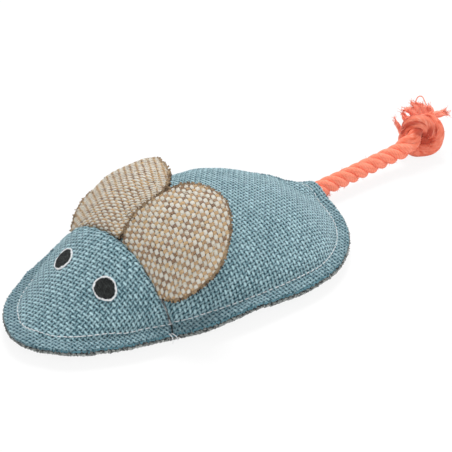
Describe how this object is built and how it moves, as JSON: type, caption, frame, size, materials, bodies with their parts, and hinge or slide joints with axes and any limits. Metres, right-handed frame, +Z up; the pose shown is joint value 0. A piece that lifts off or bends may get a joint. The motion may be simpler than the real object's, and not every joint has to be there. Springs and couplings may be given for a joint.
{
  "type": "catnip mouse toy",
  "caption": "Flat-bottomed stuffed cloth mouse for a cat, with a woven blue back, folded-back ears, stitched eyes and a knotted rope tail.",
  "frame": {"origin": "on the table under the middle of the cloth body, which lies flat", "axes": "+Z up, nose towards -Y, tail towards +Y, the mouse's left ear towards +X"},
  "size_m": [0.1026, 0.2461, 0.0526],
  "materials": {
    "blue_canvas": "coarse basket-weave cotton canvas, matt",
    "grey_cloth": "plain weave of light and dark grey yarns, matt",
    "black_thread": "dense satin stitch, slight sheen",
    "white_thread": "twisted sewing thread",
    "ear_cloth": "coarse weave of cream and tan yarns",
    "ear_backing": "dark brown woven backing",
    "rope_cotton": "three-strand twisted cotton rope, soft",
    "polyester_fibre": "loose white fibre",
    "dried_catnip": "dried and chopped leaves"
  },
  "bodies": {
    "mouse": {"head_panel": "blue_canvas", "back_panel": "blue_canvas", "base_panel": "grey_cloth", "fibre_filling": "polyester_fibre", "catnip_filling": "dried_catnip", "edge_stitching_top": "white_thread", "edge_stitching_bottom": "white_thread", "neck_seam_stitching": "white_thread", "eye_left_white": "white_thread", "eye_right_white": "white_thread", "eye_left_black": "black_thread", "eye_right_black": "black_thread", "ear_left_root_front": "ear_cloth", "ear_left_root_back": "ear_backing", "ear_right_root_front": "ear_cloth", "ear_right_root_back": "ear_backing", "tail_sewn_end": "rope_cotton"},
    "ear_left": {"ear_left_front": "ear_cloth", "ear_left_back": "ear_backing", "ear_left_stitching": "white_thread"},
    "ear_right": {"ear_right_front": "ear_cloth", "ear_right_back": "ear_backing", "ear_right_stitching": "white_thread"},
    "tail_root": {"tail_base": "rope_cotton"},
    "tail": {"tail_rope": "rope_cotton", "tail_knot": "rope_cotton", "tail_fray": "rope_cotton"}
  },
  "joints": [
    {"name": "ear_left_fold", "type": "hinge", "parent": "mouse", "child": "ear_left", "pos_m": [0.0185, -0.0304, 0.03171], "axis": [0.8829, 0, -0.4695], "range_deg": [-10, 75], "stiffness_Nm_per_rad": 0.02},
    {"name": "ear_right_fold", "type": "hinge", "parent": "mouse", "child": "ear_right", "pos_m": [-0.01316, -0.03014, 0.03411], "axis": [0.9563, 0, 0.2924], "range_deg": [-10, 75], "stiffness_Nm_per_rad": 0.02},
    {"name": "tail_swing", "type": "hinge", "parent": "mouse", "child": "tail_root", "pos_m": [0, 0.0867, 0.00665], "axis": [0, 0, 1], "range_deg": [-50, 50]},
    {"name": "tail_lift", "type": "hinge", "parent": "tail_root", "child": "tail", "pos_m": [0, 0.0867, 0.00665], "axis": [1, 0, 0], "range_deg": [0, 70]}
  ]
}
